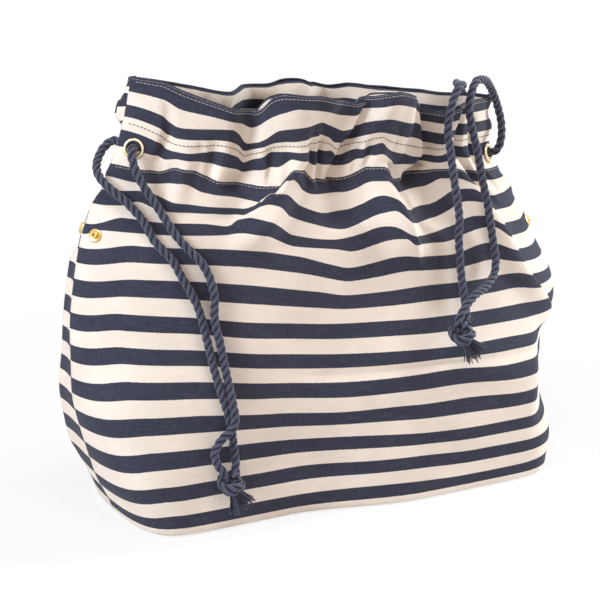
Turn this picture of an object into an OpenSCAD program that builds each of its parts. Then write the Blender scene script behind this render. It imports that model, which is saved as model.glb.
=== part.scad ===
// Drawstring laundry bag of striped canvas. Two panels with a boxed bottom, a turned facing that
// makes the cord channel, four eyelets, a press snap on each side and two knotted drawcords.
// Millimetres, +Z up, front towards -Y, origin on the floor under the middle of the base.

/* [Bag] */
// Height of the mouth's edge at the middle of the bag
bag_height = 326; // [310:1:350]
// Width of the base between the boxed corners
base_width = 368; // [345:1:385]
// Depth of the base
base_depth = 146; // [130:1:156]
// Height of the widest part of the belly
belly_height = 120; // [100:1:140]
// Width of the belly from side seam to side seam
belly_width = 430; // [415:1:450]
// Depth of the belly
belly_depth = 148; // [135:1:160]
// Height of the shoulder, where the gathers start
shoulder_height = 205; // [195:1:215]
// Width of the shoulder
shoulder_width = 408; // [395:1:420]
// Depth of the shoulder
shoulder_depth = 138; // [125:1:146]
// Width of the mouth's edge
mouth_width = 320; // [304:1:334]
// Depth of the mouth's edge
mouth_depth = 116; // [105:1:125]
// Height lost along the mouth from the left seam to the right seam
slump = 44; // [20:1:50]
// Distance that the channel leans to the left
sway = 5; // [0:1:8]
// Depth by which the lower right of each side sags out past the belly
sag = 20; // [0:1:24]
// Height of the middle of the sag
sag_height = 90; // [80:1:100]
// Radius of the bottom edge
heel_radius = 5; // [3:1:8]
// Thickness of the canvas
canvas = 1.2; // [0.9:0.1:1.5]

/* [Cord channel] */
// Width of the bag along the channel
channel_width = 336; // [322:1:350]
// Depth of the bag along the channel
channel_depth = 92; // [84:1:104]
// Height from the mouth's edge down to the middle of the channel
channel_drop = 50; // [46:1:56]
// Height of the channel between its two rows of stitches
channel_tall = 34; // [32:1:38]
// How far the main folds of the gathered cloth stand out or in
gather = 10; // [6:1:12]
// Spare room for the cords in the depth of the channel
channel_slack = 7; // [6.6:0.1:7.8]
// Depth of facing below the channel
facing_hem = 8; // [4:1:12]

/* [Eyelets] */
// Bore of an eyelet
eyelet_bore = 10; // [9:0.5:11]
// Diameter of an eyelet's flange
eyelet_flange = 16; // [15:0.5:18]
// Height of an eyelet's domed flange
eyelet_dome = 1.6; // [1.2:0.1:2]
// Thickness of an eyelet's barrel
eyelet_metal = 0.6; // [0.4:0.1:0.8]
// Thickness of an eyelet's washer
washer_metal = 0.7; // [0.5:0.1:0.9]
// Diameter of an eyelet's washer
washer_wide = 14; // [13.5:0.5:15]
// Distance of an eyelet from the side seam, along the width
eyelet_inset = 10; // [9:0.5:13]

/* [Snaps] */
// Diameter of a snap's base
snap_base = 10; // [9:0.5:11]
// Diameter of the cap inside the canvas
snap_inner = 8; // [7:0.5:9]
// Thickness of a snap's base and of its cap
snap_plate = 1; // [0.8:0.1:1.3]
// Diameter of a snap's stud
snap_stud = 4.4; // [4:0.1:5]
// Height of a snap's stud above its base
stud_tall = 2.6; // [2:0.1:3.2]
// Diameter of the post that holds a snap through the canvas
snap_post = 2.4; // [2:0.1:2.8]
// Height of the snaps at the middle of the bag
snap_height = 214; // [204:1:222]
// Distance of a snap from the side seam, along the width
snap_inset = 6; // [5:0.5:8]

/* [Drawcords] */
// Diameter of a drawcord
cord_d = 6.4; // [5.6:0.2:6.8]
// Width of a knot
knot_wide = 19; // [17:0.5:21]
// Length of a frayed end below its knot
tassel_long = 18; // [14:1:21]
// Width of a frayed end at its tips
tassel_wide = 15; // [11:0.5:17]

/* [Hidden] */
$fn = 48;

// Half gap between the panels along the bottom seam and along the side seams
bottom_gap = 0.2;
side_gap = 0.6;
// Clearance of a post or barrel in its hole, and between pieces that lie face to face
hole_clearance = 0.05;
lay_clearance = 0.3;
cord_gap = 0.6;
// Steps across a panel, up its wall, round its bottom edge and up a facing
columns = 44;
wall_rows = 12;
heel_steps = 3;
channel_rows = 8;
header_rows = 4;
// Sides of a cord and steps along its run in the channel
cord_sides = 8;
run_steps = 40;
// Share of the half width at which a run in the channel hands over to the bend at the far seam
run_end = 0.9;

channel_z = bag_height - channel_drop;
cord_r = cord_d / 2;
channel_room = cord_d + channel_slack;
// Depth of an eyelet's washer below the panel's face, and its rolled rim behind the washer
eyelet_rear = canvas + washer_metal;
roll_tall = 0.5;
roll_wide = 1.2;
// Depth of a cord's middle below the panel's face, and height of each cord off the channel's middle
run_depth = eyelet_rear + roll_tall + cord_r + lay_clearance;
run_lift = washer_wide / 2 + cord_r + lay_clearance;

// Stations of the bag from the floor to the mouth
station_z = [0, belly_height, shoulder_height, channel_z, bag_height];
half_widths = [base_width, belly_width, shoulder_width, channel_width, mouth_width] / 2;
half_depths = [base_depth, belly_depth, shoulder_depth, channel_depth, mouth_depth] / 2;
// Powers that square the section off at the base and draw it to a lens at the mouth
edge_powers = [16, 3.8, 2.8, 2.3, 2.2];
crown_powers = [0.4, 0.6, 0.7, 0.8, 0.85];

// A smooth curve through one value at each station
function slope(k, v) =
  let (lo = max(k - 1, 0), hi = min(k + 1, len(v) - 1))
  (v[hi] - v[lo]) / (station_z[hi] - station_z[lo]);
function span(z) =
  let (past = [for (k = [0:len(station_z) - 2]) if (z <= station_z[k + 1]) k])
  len(past) > 0 ? past[0] : len(station_z) - 2;
function along(z, v) =
  let (k = span(z), h = station_z[k + 1] - station_z[k], t = (z - station_z[k]) / h)
  v[k] * (2 * t ^ 3 - 3 * t ^ 2 + 1) + slope(k, v) * h * (t ^ 3 - 2 * t ^ 2 + t)
  + v[k + 1] * (3 * t ^ 2 - 2 * t ^ 3) + slope(k + 1, v) * h * (t ^ 3 - t ^ 2);

// The right side sits lower than the left, and the neck leans to the left
lean_start = (belly_height + shoulder_height) / 2;
function ramp(z, low, high) =
  let (t = min(1, max(0, (z - low) / (high - low))))
  t * t * (3 - 2 * t);
function lean(z) = sway * (ramp(z, lean_start, channel_z) - ramp(z, channel_z, bag_height));
function slumped(p) = [
  p.x - lean(p.z),
  p.y,
  p.z - slump * p.x / mouth_width * p.z / bag_height
];

// The cloth hangs out over the base where the right side has settled
sag_from = -0.35;
sag_full = 0.25;
function sagged(u, z) =
  z >= 2 * sag_height ? 0 : sag * ramp(u, sag_from, sag_full) * sin(90 * max(1, z / sag_height)) ^ 2;

// Main folds of the gathered cloth, from the left seam to the right. Each has its places across at the
// mouth, the channel and its lower end, its reach to the left and right, its share of the gather at the
// mouth, the channel and below it, and the share of the bag's height where it runs out.
gathers = [
  [[-0.47, -0.44, -0.5], [0.15, 0.14], [-1.1, -0.35, -0.7], 0.7],
  [[-0.28, -0.22, -0.5], [0.13, 0.13], [0.5, 0.45, 1.4], 0.62],
  [[0.01, -0.05, -0.04], [0.13, 0.13], [-1.1, -0.35, -0.8], 0.68],
  [[0.2, 0.16, 0.26], [0.18, 0.13], [1, 0.45, 1.4], 0.58],
  [[0.42, 0.41, 0.38], [0.13, 0.13], [-1.3, -0.35, -0.9], 0.66],
  [[0.62, 0.6, 0.86], [0.2, 0.14], [0.9, 0.4, 0.8], 0.42]
];
fold_z = (shoulder_height + channel_z - channel_tall / 2) / 2;
function mix(a, b, t) = a + (b - a) * t;
function fold_place(f, z) =
  z >= channel_z ? mix(f[0][1], f[0][0], (z - channel_z) / (bag_height - channel_z)) :
  mix(f[0][2], f[0][1], max(0, z - f[3] * bag_height) / (channel_z - f[3] * bag_height));
function fold_tall(f, z) =
  z >= channel_z ? mix(f[2][1], f[2][0], ramp(z, channel_z, bag_height)) :
  z >= fold_z ? mix(f[2][2], f[2][1], ramp(z, fold_z, channel_z)) :
  f[2][2] * ramp(z, f[3] * bag_height, fold_z);
function fold_bump(f, u, z) =
  let (d = u - fold_place(f, z), t = d / f[1][d < 0 ? 0 : 1])
  abs(t) >= 1 ? 0 : fold_tall(f, z) * cos(90 * t) ^ 2;
function total(v, k = 0) = k >= len(v) ? 0 : v[k] + total(v, k + 1);
function gathered(u, z) = gather * total([for (f = gathers) fold_bump(f, u, z)]);

// A point of the front wall. u runs from -1 at the left seam to 1 at the right seam.
function wall(u, z, inset) =
  let (crown = (1 - min(abs(u), 1) ^ along(z, edge_powers)) ^ along(z, crown_powers))
  slumped([
    u * (along(z, half_widths) - inset),
    -side_gap - (along(z, half_depths) + sagged(u, z) + gathered(u, z) - inset) * crown,
    z
  ]);
// Steps for slopes of the wall, across it and up it
step_u = 0.004;
step_z = 1;
function wall_across(u, z) = (wall(u + step_u, z, 0) - wall(u - step_u, z, 0)) / (2 * step_u);
function wall_up(u, z) = (wall(u, z + step_z, 0) - wall(u, z - step_z, 0)) / (2 * step_z);
function wall_normal(u, z) =
  let (n = cross(wall_across(u, z), wall_up(u, z)))
  n / norm(n);
// How far the wall stands off its own tangent round a seat: the most that it rises and falls
function wall_offsets(u, z, reach) =
  let (du = reach / norm(wall_across(u, z)), dz = reach / norm(wall_up(u, z)))
  let (seat = wall(u, z, 0), n = wall_normal(u, z))
  [
    for (angle = [0:30:330])
      (wall(max(-1, min(1, u + du * cos(angle))), z + dz * sin(angle), 0) - seat) * n
  ];
function wall_rise(u, z, reach) = max(0, max(wall_offsets(u, z, reach)));
function wall_fall(u, z, reach) = -min(0, min(wall_offsets(u, z, reach)));

// Columns crowd towards the seams, where the wall turns fastest
function column_u(c) = sin(90 * (2 * c / columns - 1));

// A closed shell between an outer and an inner grid of points, each m rows of n points
function quad(a, b, c, d) = [[a, b, c], [a, c, d]];
function shell_faces(m, n) =
  let (s = m * n, top = (m - 1) * n)
  concat(
    [for (r = [0:m - 2], c = [0:n - 2]) let (k = r * n + c) each quad(k, k + n, k + n + 1, k + 1)],
    [for (r = [0:m - 2], c = [0:n - 2]) let (k = s + r * n + c) each quad(k, k + 1, k + n + 1, k + n)],
    [for (r = [0:m - 2]) let (k = r * n) each quad(k, s + k, s + k + n, k + n)],
    [for (r = [0:m - 2]) let (k = r * n + n - 1) each quad(k, k + n, s + k + n, s + k)],
    [for (c = [0:n - 2]) each quad(c, c + 1, s + c + 1, s + c)],
    [for (c = [0:n - 2]) let (k = top + c) each quad(k, s + k, s + k + 1, k + 1)]
  );
module shell(outer, inner) {
  points = concat([for (row = outer) each row], [for (row = inner) each row]);
  polyhedron(points, shell_faces(len(outer), len(outer[0])));
}

// Heights of the rows that a panel shares with its facing, which stands off it round the cords
channel_low = channel_z - channel_tall / 2;
channel_high = channel_z + channel_tall / 2;
function channel_swell(z) =
  let (t = (z - channel_low) / channel_tall)
  t <= 0 || t >= 1 ? 0 : min(1, 3 * sin(180 * t));
facing_z = concat(
  [channel_low - facing_hem],
  [for (k = [0:channel_rows]) channel_low + channel_tall * k / channel_rows],
  [for (k = [1:header_rows]) channel_high + (bag_height - channel_high) * k / header_rows]
);

// Rows of a panel from the bottom seam, round the bottom edge and up to the mouth
function seam_row(inset) = [
  for (c = [0:columns])
    let (p = wall(column_u(c), inset, heel_radius))
    [p.x, -bottom_gap, inset]
];
function heel_row(angle, inset) = [
  for (c = [0:columns])
    let (r = heel_radius - inset)
    wall(column_u(c), heel_radius - r * cos(angle), heel_radius - r * sin(angle))
];
function wall_row(z, inset) = [for (c = [0:columns]) wall(column_u(c), z, inset)];
function panel_grid(inset) = concat(
  [seam_row(inset)],
  [for (k = [0:heel_steps]) heel_row(90 * k / heel_steps, inset)],
  [for (k = [1:wall_rows]) wall_row(heel_radius + (facing_z[0] - heel_radius) * k / wall_rows, inset)],
  [for (k = [1:len(facing_z) - 1]) wall_row(facing_z[k], inset)]
);

function facing_grid(layer) = [
  for (z = facing_z)
    wall_row(z, canvas + lay_clearance + channel_room * channel_swell(z) + layer)
];

// Seats on the wall for the eyelets and the snaps
function seat_u(side, z, inset) = side * (1 - inset / along(z, half_widths));
module on_wall(side, z, inset) {
  u = seat_u(side, z, inset);
  n = wall_normal(u, z);
  translate(wall(u, z, 0)) rotate([0, acos(n.z), atan2(n.y, n.x)]) children();
}
module at_eyelet(side) { on_wall(side, channel_z, eyelet_inset) children(); }
module at_snap(side) { on_wall(side, snap_height, snap_inset) children(); }

barrel_r = eyelet_bore / 2 + eyelet_metal;
post_r = snap_post / 2;
hole_reach = 6;
module hole(r) { translate([0, 0, -hole_reach]) cylinder(r = r + hole_clearance, h = 1.5 * hole_reach); }

module panel() {
  difference() {
    shell(panel_grid(0), panel_grid(canvas));
    for (side = [-1, 1]) {
      at_eyelet(side) hole(barrel_r);
      at_snap(side) hole(post_r);
    }
  }
}
module to_back() { mirror([0, 1, 0]) children(); }

module front_panel() { color("#3c4463") panel(); }
module back_panel() { color("#3c4463") to_back() panel(); }
module facing() { shell(facing_grid(0), facing_grid(canvas)); }
module front_facing() { color("#f2e4d2") facing(); }
module back_facing() { color("#f2e4d2") to_back() facing(); }

// Eyelet with a domed flange outside and a rolled rim inside, on its seat's own axis
module eyelet(side) {
  rise = wall_rise(seat_u(side, channel_z, eyelet_inset), channel_z, eyelet_flange / 2);
  ring = (eyelet_flange - eyelet_bore) / 4;
  dome = [
    for (angle = [0:15:180])
      [eyelet_bore / 2 + ring * (1 - cos(angle)), rise + eyelet_dome * sin(angle)]
  ];
  rim = [
    [barrel_r, rise], [barrel_r, -eyelet_rear], [barrel_r + roll_wide, -eyelet_rear],
    [barrel_r + roll_wide / 2, -eyelet_rear - roll_tall], [eyelet_bore / 2, -eyelet_rear - roll_tall]
  ];
  rotate_extrude() polygon(concat(dome, rim));
}
module washer() {
  translate([0, 0, -eyelet_rear]) difference() {
    cylinder(d = washer_wide, h = washer_metal);
    translate([0, 0, -washer_metal]) cylinder(r = barrel_r + hole_clearance, h = 3 * washer_metal);
  }
}
module brass() { color("#d9bd7c") children(); }
module front_left_eyelet() { brass() at_eyelet(-1) eyelet(-1); }
module front_right_eyelet() { brass() at_eyelet(1) eyelet(1); }
module back_left_eyelet() { to_back() front_left_eyelet(); }
module back_right_eyelet() { to_back() front_right_eyelet(); }
module front_left_washer() { brass() at_eyelet(-1) washer(); }
module front_right_washer() { brass() at_eyelet(1) washer(); }
module back_left_washer() { to_back() front_left_washer(); }
module back_right_washer() { to_back() front_right_washer(); }

// Snap halves outside the canvas, each held by a cap with a post from inside
stud_wall = 0.9;
stud_bead = 0.3;
snap_rim = 0.8;
module plate(d) {
  cylinder(d1 = d, d2 = d - snap_plate, h = snap_plate);
}
module snap_stud() {
  rotate_extrude() polygon([
    [post_r + hole_clearance, 0], [snap_base / 2, 0], [snap_base / 2, snap_plate / 2],
    [snap_base / 2 - snap_rim, snap_plate], [snap_stud / 2, snap_plate / 2],
    [snap_stud / 2 - stud_bead, snap_plate / 2 + stud_tall / 2], [snap_stud / 2, stud_tall],
    [snap_stud / 2 - stud_bead, stud_tall + stud_bead], [snap_stud / 2 - stud_wall, stud_tall],
    [snap_stud / 2 - stud_wall, post_r], [post_r + hole_clearance, post_r]
  ]);
}
module snap_socket() {
  mouth_r = snap_stud / 2 + hole_clearance;
  rotate_extrude() polygon([
    [post_r + hole_clearance, 0], [snap_base / 2, 0], [snap_base / 2, snap_plate],
    [snap_base / 2 - snap_rim, stud_tall], [mouth_r + snap_rim / 2, stud_tall + stud_bead],
    [mouth_r, stud_tall], [mouth_r + stud_bead, stud_tall / 2], [mouth_r, snap_plate / 2],
    [post_r + hole_clearance, snap_plate / 2]
  ]);
}
module snap_cap(side) {
  u = seat_u(side, snap_height, snap_inset);
  rear = canvas + wall_fall(u, snap_height, snap_inner / 2) + lay_clearance;
  translate([0, 0, -rear]) mirror([0, 0, 1]) plate(snap_inner);
  translate([0, 0, -rear]) cylinder(r = post_r, h = rear + snap_plate / 2);
}
module left_snap_stud() { brass() at_snap(-1) snap_stud(); }
module right_snap_stud() { brass() at_snap(1) snap_stud(); }
module left_snap_socket() { brass() to_back() at_snap(-1) snap_socket(); }
module right_snap_socket() { brass() to_back() at_snap(1) snap_socket(); }
module left_stud_cap() { brass() at_snap(-1) snap_cap(-1); }
module right_stud_cap() { brass() at_snap(1) snap_cap(1); }
module left_socket_cap() { to_back() left_stud_cap(); }
module right_socket_cap() { to_back() right_stud_cap(); }

// A cord swept along its route, with each ring turned as little as it can be from the last
function unit(v) = v / norm(v);
function heading(p, k) = unit(p[min(k + 1, len(p) - 1)] - p[max(k - 1, 0)]);
function flatten(v, t) = unit(v - (v * t) * t);
function ring_axes(p, k = 0, last = [0.3, 0.8, 0.52]) =
  k >= len(p) ? [] :
  let (n = flatten(last, heading(p, k)))
  concat([n], ring_axes(p, k + 1, n));
function cord_faces(m, s) =
  concat(
    [[for (j = [0:s - 1]) j]],
    [for (k = [0:m - 2], j = [0:s - 1])
      let (a = k * s + j, b = k * s + (j + 1) % s)
      each quad(a, a + s, b + s, b)],
    [[for (j = [s - 1:-1:0]) (m - 1) * s + j]]
  );
module cord(route) {
  axes = ring_axes(route);
  points = [
    for (k = [0:len(route) - 1])
      let (t = heading(route, k), n = axes[k], b = cross(t, n))
      for (j = [0:cord_sides - 1])
        let (angle = 360 * j / cord_sides)
        route[k] + cord_r * (cos(angle) * n + sin(angle) * b)
  ];
  polyhedron(points, cord_faces(len(route), cord_sides));
}
module rope() { color("#3b4567") children(); }

// Runs of a cord inside the channel, from its eyelet to the far seam, and the bend round that seam
bore_depth = 3.4;
eyelet_turn = 2;
rise_steps = 6;
bend_steps = 4;
function sunk(u, z, depth) = wall(u, z, 0) - depth * wall_normal(u, z);
function level_in(u, z, depth) =
  let (n = wall_normal(u, z))
  wall(u, z, 0) - depth * unit([n.x, n.y, 0]);
function run_route(side, lift) =
  let (u0 = seat_u(side, channel_z, eyelet_inset))
  concat(
    [
      sunk(u0, channel_z, bore_depth),
      sunk(u0, channel_z, bore_depth + eyelet_turn) - [side * eyelet_turn / 2, 0, 0]
    ],
    [for (k = [1:run_steps])
      let (u = u0 + (-side * run_end - u0) * k / run_steps)
      level_in(u, channel_z + lift * min(1, k / rise_steps), run_depth)]
  );
function last(v, k = 1) = v[len(v) - k];
function smooth_point(p, dp, q, dq, t) =
  p * (2 * t ^ 3 - 3 * t ^ 2 + 1) + dp * (t ^ 3 - 2 * t ^ 2 + t)
  + q * (3 * t ^ 2 - 2 * t ^ 3) + dq * (t ^ 3 - t ^ 2);
function bend_route(side, lift) =
  let (run = run_route(side, lift), ahead = unit(last(run) - last(run, 2)))
  let (start = last(run) + cord_gap * ahead)
  let (edge = wall(-side, channel_z + lift, run_depth + cord_r / 2))
  let (tip = [edge.x, 0, edge.z], reach = norm(tip - start))
  let (half = [
    for (k = [0:bend_steps])
      smooth_point(start, reach * ahead, tip, [0, reach, 0], k / bend_steps)
  ])
  concat(half, [for (k = [bend_steps - 1:-1:0]) [half[k].x, -half[k].y, half[k].z]]);
module left_cord_front_run() { rope() cord(run_route(-1, run_lift)); }
module left_cord_back_run() { to_back() left_cord_front_run(); }
module left_cord_bend() { rope() cord(bend_route(-1, run_lift)); }
module right_cord_front_run() { rope() cord(run_route(1, -run_lift)); }
module right_cord_back_run() { to_back() right_cord_front_run(); }
module right_cord_bend() { rope() cord(bend_route(1, -run_lift)); }

// Routes of the free strands from their eyelets to their knots
left_front_route = [
  [-162, -8, 294], [-164.5, -12, 295], [-167.5, -17, 295.5], [-170, -22.5, 291], [-169, -26.5, 282],
  [-165, -30, 271], [-159, -34, 260], [-153, -41, 247], [-147, -49, 234], [-139, -56, 223],
  [-132, -61, 214], [-127, -65, 202], [-125, -68, 188], [-126, -70, 170], [-123, -72, 154],
  [-121, -74.5, 138], [-119, -78, 122], [-118, -83, 107.5], [-118, -87.5, 97], [-121, -88.5, 88.5],
  [-129, -86.5, 81], [-133.5, -83.5, 71], [-132, -83, 61], [-127.5, -84, 54], [-124, -85, 48]
];
left_back_route = [
  [-162, 8, 294], [-164.5, 12, 295], [-169, 17, 296], [-176, 18, 291], [-182, 14, 285], [-187, 6, 280],
  [-189, -3, 275], [-186.5, -12, 269], [-180, -19.5, 262], [-174, -26, 255], [-167, -35, 244],
  [-162, -44, 230], [-153, -52, 218], [-147, -58, 204], [-141.5, -62, 192], [-136.5, -65.5, 178],
  [-132, -69, 155], [-129, -72.5, 136], [-126, -76.5, 120], [-122.5, -79.5, 105], [-119, -81, 90.5],
  [-117, -81, 75], [-116, -82.5, 61], [-116.5, -84, 54], [-117, -85, 50]
];
right_front_route = [
  [152, -8, 257], [154.5, -12, 258.5], [158.5, -16, 262.5], [162.5, -14.5, 271], [165, -10, 282],
  [163, -7.5, 294], [156, -11.5, 306], [146, -19, 317], [134, -31, 324], [121, -40, 326],
  [113, -46, 320], [108, -50, 309], [109, -52, 294], [114, -54, 272], [118, -57, 248],
  [120.5, -62, 227], [123.5, -66, 200], [124.5, -69, 186], [120, -74, 174], [106, -82, 167],
  [93, -89, 164.5], [82, -93.5, 158.5], [74.5, -97, 151.5], [72, -99, 145]
];
right_back_route = [
  [152, 8, 257], [154.5, 12, 258.5], [158.5, 17, 263], [160.5, 22, 275], [157, 26, 289],
  [150, 27, 302], [141, 21, 311], [131, 6, 315.5], [120, -15, 318.5], [112, -33, 322],
  [103, -45, 325], [96, -51, 323], [90, -54, 314], [86, -56, 302], [84.5, -57, 290],
  [86, -59, 275], [87, -62, 258], [89, -65.5, 238], [90, -68, 222], [88.5, -70, 208],
  [88, -74, 187], [88.5, -77, 171], [88, -82, 158.5], [84, -91, 151], [80, -98, 145]
];
module left_cord_front_strand() { rope() cord(left_front_route); }
module left_cord_back_strand() { rope() cord(left_back_route); }
module right_cord_front_strand() { rope() cord(right_front_route); }
module right_cord_back_strand() { rope() cord(right_back_route); }

// Knots that tie each pair of strands, and the frayed ends below them
left_knot_at = [-120.5, -85, 43];
left_knot_lean = [0, -24, 0];
right_knot_at = [75.5, -99.5, 138];
right_knot_lean = [0, -36, 0];
knot_tall = 2 * cord_d + 1;
module knot() {
  ring_r = knot_wide / 2 - cord_r;
  for (k = [-1, 1]) {
    translate([0, 0, k * cord_r]) rotate_extrude() translate([ring_r, 0]) circle(d = cord_d);
  }
  cylinder(r = ring_r, h = knot_tall, center = true);
}
module tassel() {
  translate([0, 0, -knot_tall / 2 - lay_clearance]) mirror([0, 0, 1])
    cylinder(d1 = cord_d, d2 = tassel_wide, h = tassel_long);
}
module left_knot() { rope() translate(left_knot_at) rotate(left_knot_lean) knot(); }
module left_tassel() { rope() translate(left_knot_at) rotate(left_knot_lean) tassel(); }
module right_knot() { rope() translate(right_knot_at) rotate(right_knot_lean) knot(); }
module right_tassel() { rope() translate(right_knot_at) rotate(right_knot_lean) tassel(); }

front_panel();
back_panel();
front_facing();
back_facing();
front_left_eyelet();
front_right_eyelet();
back_left_eyelet();
back_right_eyelet();
front_left_washer();
front_right_washer();
back_left_washer();
back_right_washer();
left_snap_stud();
right_snap_stud();
left_snap_socket();
right_snap_socket();
left_stud_cap();
right_stud_cap();
left_socket_cap();
right_socket_cap();
left_cord_front_run();
left_cord_back_run();
left_cord_bend();
right_cord_front_run();
right_cord_back_run();
right_cord_bend();
left_cord_front_strand();
left_cord_back_strand();
left_knot();
left_tassel();
right_cord_front_strand();
right_cord_back_strand();
right_knot();
right_tassel();
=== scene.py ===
"""Looks of the striped drawstring laundry bag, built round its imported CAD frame.

Sizes in the tables below are millimetres, in the CAD frame: +Z up, front towards -Y.
"""

import math
import random

import bpy
import numpy as np
from mathutils import Matrix, Vector


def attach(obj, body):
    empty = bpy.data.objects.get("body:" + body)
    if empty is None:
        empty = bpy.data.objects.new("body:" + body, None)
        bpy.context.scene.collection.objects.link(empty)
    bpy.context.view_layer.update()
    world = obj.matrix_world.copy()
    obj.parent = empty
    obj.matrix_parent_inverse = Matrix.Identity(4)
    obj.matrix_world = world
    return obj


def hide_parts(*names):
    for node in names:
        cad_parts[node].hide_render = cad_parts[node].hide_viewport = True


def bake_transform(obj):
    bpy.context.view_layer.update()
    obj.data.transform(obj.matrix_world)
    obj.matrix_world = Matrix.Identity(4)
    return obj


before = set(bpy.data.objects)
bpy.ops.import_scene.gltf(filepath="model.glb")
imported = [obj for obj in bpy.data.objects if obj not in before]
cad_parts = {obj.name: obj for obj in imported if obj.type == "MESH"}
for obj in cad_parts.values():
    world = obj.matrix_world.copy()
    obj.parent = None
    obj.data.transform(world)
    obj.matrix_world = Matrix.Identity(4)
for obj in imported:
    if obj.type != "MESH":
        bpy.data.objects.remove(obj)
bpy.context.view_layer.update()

MM = 0.001
IMAGE_WIDTH = 600

# Camera at the photograph's viewing angle
CAMERA_AT = (-738, -1379, 628)
CAMERA_PITCH = 17.0
CAMERA_YAW = 27.6
FOCAL_PIXELS = 2015
SENSOR_WIDTH = 36.0


def add_camera():
    data = bpy.data.cameras.new("studio_camera")
    data.sensor_width = SENSOR_WIDTH
    data.lens = FOCAL_PIXELS / IMAGE_WIDTH * SENSOR_WIDTH
    data.clip_start = 0.05
    data.clip_end = 30.0
    camera = bpy.data.objects.new("studio_camera", data)
    camera.location = Vector(CAMERA_AT) * MM
    camera.rotation_euler = (
        math.radians(90 - CAMERA_PITCH),
        0,
        math.radians(-CAMERA_YAW),
    )
    bpy.context.scene.collection.objects.link(camera)
    bpy.context.scene.camera = camera


add_camera()


def deselect_all():
    if bpy.context.object and bpy.context.object.mode != "OBJECT":
        bpy.ops.object.mode_set(mode="OBJECT")
    bpy.ops.object.select_all(action="DESELECT")


def only(piece):
    deselect_all()
    piece.select_set(True)
    bpy.context.view_layer.objects.active = piece


def mesh_piece(name, points_mm, faces):
    """A new mesh object with smooth shading, from points in millimetres."""
    mesh = bpy.data.meshes.new(name)
    mesh.from_pydata([tuple(p) for p in np.asarray(points_mm, float) * MM], [], faces)
    mesh.update()
    mesh.polygons.foreach_set("use_smooth", [True] * len(mesh.polygons))
    piece = bpy.data.objects.new(name, mesh)
    bpy.context.scene.collection.objects.link(piece)
    return piece


def set_uv(piece, per_vertex):
    """A UV map from one pair of values for each vertex."""
    layer = piece.data.uv_layers.new(name="UVMap")
    index = np.zeros(len(piece.data.loops), np.int32)
    piece.data.loops.foreach_get("vertex_index", index)
    layer.data.foreach_set("uv", np.asarray(per_vertex, np.float32)[index].ravel())


def apply_modifiers(piece):
    only(piece)
    for modifier in list(piece.modifiers):
        bpy.ops.object.modifier_apply(modifier=modifier.name)


def distance_along(path):
    """Distance from a path's start to each of its points."""
    return np.concatenate([[0], np.cumsum(np.linalg.norm(np.diff(path, axis=0), axis=1))])


def at_distances(at, along, values):
    """Points or directions of a path at distances from its start."""
    return np.stack([np.interp(at, along, values[:, k]) for k in range(3)], axis=-1)


# Cords

CORD_D = 6.4
CORD_LAY = 18.5
STRAND_R = 1.84
STRAND_OFF = 1.62
RING_SIDES = 10
ROUTE_STEP = 1.3
CURVE_STEPS = 16

# Routes of the free strands from their eyelets to their knots, as in the CAD
LEFT_FRONT_ROUTE = [
    (-162, -8, 294), (-164.5, -12, 295), (-167.5, -17, 295.5), (-170, -22.5, 291), (-169, -26.5, 282),
    (-165, -30, 271), (-159, -34, 260), (-153, -41, 247), (-147, -49, 234), (-139, -56, 223),
    (-132, -61, 214), (-127, -65, 202), (-125, -68, 188), (-126, -70, 170), (-123, -72, 154),
    (-121, -74.5, 138), (-119, -78, 122), (-118, -83, 107.5), (-118, -87.5, 97), (-121, -88.5, 88.5),
    (-129, -86.5, 81), (-133.5, -83.5, 71), (-132, -83, 61), (-127.5, -84, 54), (-124, -85, 48),
]
LEFT_BACK_ROUTE = [
    (-162, 8, 294), (-164.5, 12, 295), (-169, 17, 296), (-176, 18, 291), (-182, 14, 285),
    (-187, 6, 280), (-189, -3, 275), (-186.5, -12, 269), (-180, -19.5, 262), (-174, -26, 255),
    (-167, -35, 244), (-162, -44, 230), (-153, -52, 218), (-147, -58, 204), (-141.5, -62, 192),
    (-136.5, -65.5, 178), (-132, -69, 155), (-129, -72.5, 136), (-126, -76.5, 120),
    (-122.5, -79.5, 105), (-119, -81, 90.5), (-117, -81, 75), (-116, -82.5, 61), (-116.5, -84, 54),
    (-117, -85, 50),
]
RIGHT_FRONT_ROUTE = [
    (152, -8, 257), (154.5, -12, 258.5), (158.5, -16, 262.5), (162.5, -14.5, 271), (165, -10, 282),
    (163, -7.5, 294), (156, -11.5, 306), (146, -19, 317), (134, -31, 324), (121, -40, 326),
    (113, -46, 320), (108, -50, 309), (109, -52, 294), (114, -54, 272), (118, -57, 248),
    (120.5, -62, 227), (123.5, -66, 200), (124.5, -69, 186), (120, -74, 174), (106, -82, 167),
    (93, -89, 164.5), (82, -93.5, 158.5), (74.5, -97, 151.5), (72, -99, 145),
]
RIGHT_BACK_ROUTE = [
    (152, 8, 257), (154.5, 12, 258.5), (158.5, 17, 263), (160.5, 22, 275), (157, 26, 289),
    (150, 27, 302), (141, 21, 311), (131, 6, 315.5), (120, -15, 318.5), (112, -33, 322),
    (103, -45, 325), (96, -51, 323), (90, -54, 314), (86, -56, 302), (84.5, -57, 290),
    (86, -59, 275), (87, -62, 258), (89, -65.5, 238), (90, -68, 222), (88.5, -70, 208),
    (88, -74, 187), (88.5, -77, 171), (88, -82, 158.5), (84, -91, 151), (80, -98, 145),
]


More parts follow.
